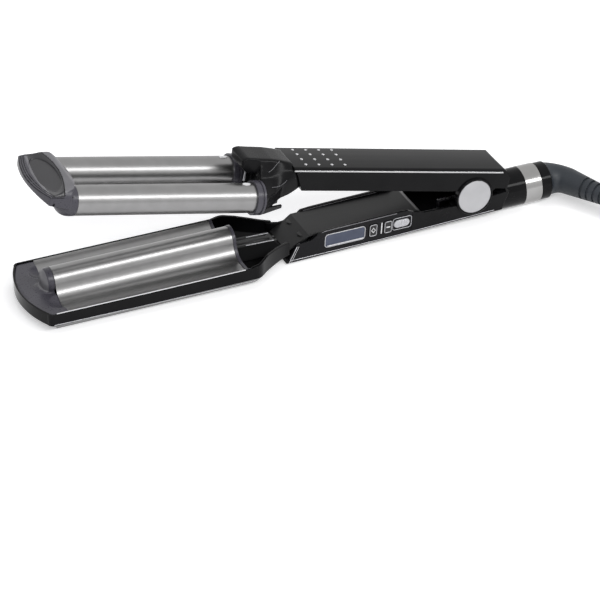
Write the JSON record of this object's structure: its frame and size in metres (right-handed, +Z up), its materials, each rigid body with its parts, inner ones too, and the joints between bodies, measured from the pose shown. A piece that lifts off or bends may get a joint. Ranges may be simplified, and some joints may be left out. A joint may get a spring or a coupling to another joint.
{
  "type": "hair waver",
  "caption": "Hair waver with two steel barrels on a hinged upper arm over a waved heating plate, with a display, press buttons and a swivelling mains cord.",
  "frame": {"origin": "on the floor, under the centre of the tool's box without its cord", "axes": "+X along the tool to its tail and cord, +Y to the far side from the buttons, +Z up"},
  "size_m": [0.4762, 0.1246, 0.091],
  "materials": {
    "casing_gloss": "glossy black",
    "casing_satin": "satin black",
    "tip_grey": "dark grey satin",
    "steel": "brushed along the barrel",
    "trim": "bright",
    "disc": "matte",
    "ring": "satin chrome",
    "core": "plain",
    "heater": "ceramic, as plastic",
    "lens": "clear",
    "module": "bluish grey display",
    "board": "green laminate",
    "contact": "bright",
    "hard_steel": "plain",
    "boot": "matt dark grey",
    "cable": "matt black",
    "key_dark": "satin",
    "key_silver": "silver paint"
  },
  "bodies": {
    "lower_arm": {"bottom_casing": "casing_gloss", "side_panel": "casing_gloss", "display_lens": "lens", "display_module": "module", "control_board": "board", "tact_switches": "key_dark", "heating_plate": "steel", "plate_end_frame": "tip_grey", "lower_tip": "tip_grey", "root_bridge": "casing_satin", "heat_spreader": "core", "plate_heater": "heater", "thermal_fuse": "heater", "heater_clamp": "hard_steel", "heater_leads": "cable", "inner_cover": "casing_satin", "casing_screws": "hard_steel", "opening_spring": "hard_steel", "tail_collar": "casing_gloss", "silver_ring": "ring", "brush_block": "key_dark"},
    "upper_arm": {"upper_shell": "casing_gloss", "upper_base_shell": "casing_gloss", "trim_far": "trim", "trim_near": "trim", "grip_studs": "disc", "yoke": "casing_gloss", "yoke_brace": "casing_satin", "barrel_far": "steel", "barrel_collar_far": "tip_grey", "heat_core_far": "core", "barrel_heater_far": "heater", "barrel_near": "steel", "barrel_collar_near": "tip_grey", "heat_core_near": "core", "barrel_heater_near": "heater", "barrel_rivets": "trim", "cool_tip": "tip_grey", "thumb_pad": "tip_grey", "hinge_pin": "hard_steel", "pivot_cap_far": "disc", "pivot_cap_near": "disc"},
    "cord_swivel": {"swivel_head": "casing_gloss", "slip_rings": "contact", "swivel_clip": "hard_steel", "cord_boot": "boot", "cord": "cable", "cord_coil": "cable", "plug": "cable", "plug_pins": "contact"},
    "mode_button": {"mode_button": "key_dark"},
    "minus_button": {"minus_button": "key_dark"},
    "power_button": {"power_button": "key_silver"}
  },
  "joints": [
    {"name": "arm_hinge", "type": "hinge", "parent": "lower_arm", "child": "upper_arm", "pos_m": [0.11704, 0, 0.02143], "axis": [0, 1, 0], "range_deg": [-12.68, 0], "stiffness_Nm_per_rad": 1.5, "springref_deg": 31.51},
    {"name": "cord_turn", "type": "hinge", "parent": "lower_arm", "child": "cord_swivel", "pos_m": [0.16719, 0, 0.01263], "axis": [0.9999, 0, 0.0159], "continuous": true},
    {"name": "mode_press", "type": "slide", "parent": "lower_arm", "child": "mode_button", "axis": [-0.002, 0.9923, 0.124], "range_m": [0, 0.0006], "stiffness_N_per_m": 800, "springref_m": -0.0006},
    {"name": "minus_press", "type": "slide", "parent": "lower_arm", "child": "minus_button", "axis": [-0.002, 0.9923, 0.124], "range_m": [0, 0.0006], "stiffness_N_per_m": 800, "springref_m": -0.0006},
    {"name": "power_press", "type": "slide", "parent": "lower_arm", "child": "power_button", "axis": [-0.002, 0.9923, 0.124], "range_m": [0, 0.0006], "stiffness_N_per_m": 800, "springref_m": -0.0006}
  ]
}
